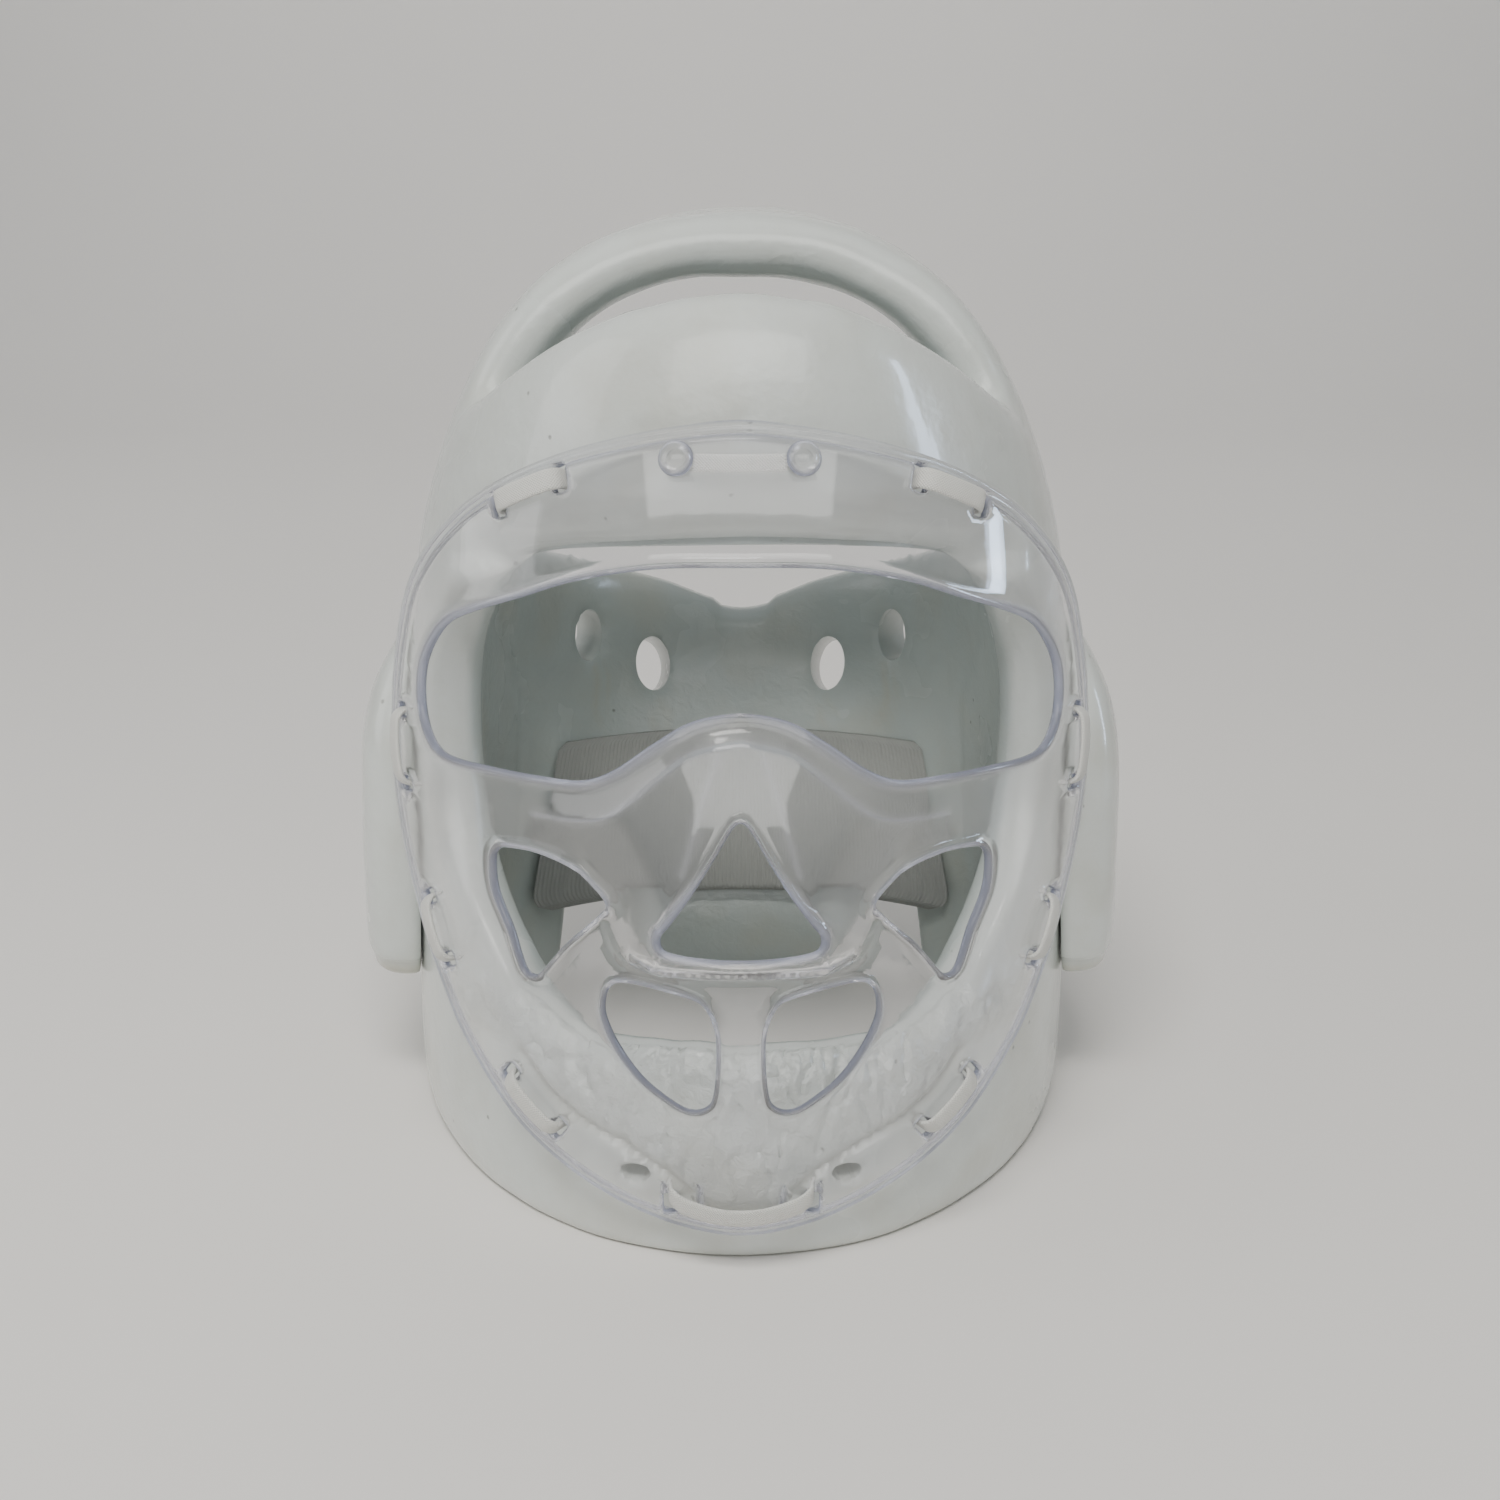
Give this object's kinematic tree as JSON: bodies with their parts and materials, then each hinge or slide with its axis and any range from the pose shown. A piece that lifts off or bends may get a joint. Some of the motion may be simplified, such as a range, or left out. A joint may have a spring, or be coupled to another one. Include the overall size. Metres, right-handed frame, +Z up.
{
  "type": "karate head guard with clear face shield",
  "caption": "White dipped-foam karate head guard with ear pads, an open crown and a clear moulded face shield tied on with white elastic loops.",
  "frame": {"origin": "On the floor plane, in the middle of the object's box along X and Y", "axes": "+Z up out of the crown, the face and the shield towards -Y, +X to the right as the guard is seen from its front, which is the wearer's left"},
  "size_m": [0.22, 0.2522, 0.2522],
  "materials": {
    "dipped_foam": "glossy white vinyl skin over closed-cell foam",
    "clear_polycarbonate": "clear moulded polycarbonate with cold violet edges",
    "white_elastic": "flat woven white elastic",
    "ribbed_elastic": "broad grey elastic with fine upright ribs"
  },
  "bodies": {
    "root": {"foam_shell": "dipped_foam", "ear_pad_left": "dipped_foam", "ear_pad_right": "dipped_foam", "face_shield": "clear_polycarbonate", "button_left": "clear_polycarbonate", "button_right": "clear_polycarbonate", "elastic_brow_left": "white_elastic", "elastic_brow_right": "white_elastic", "elastic_cheek_left": "white_elastic", "elastic_cheek_right": "white_elastic", "elastic_jaw_left": "white_elastic", "elastic_jaw_right": "white_elastic", "elastic_mouth_left": "white_elastic", "elastic_mouth_right": "white_elastic", "elastic_chin": "white_elastic", "elastic_top": "white_elastic", "nape_strap": "ribbed_elastic"}
  },
  "joints": []
}
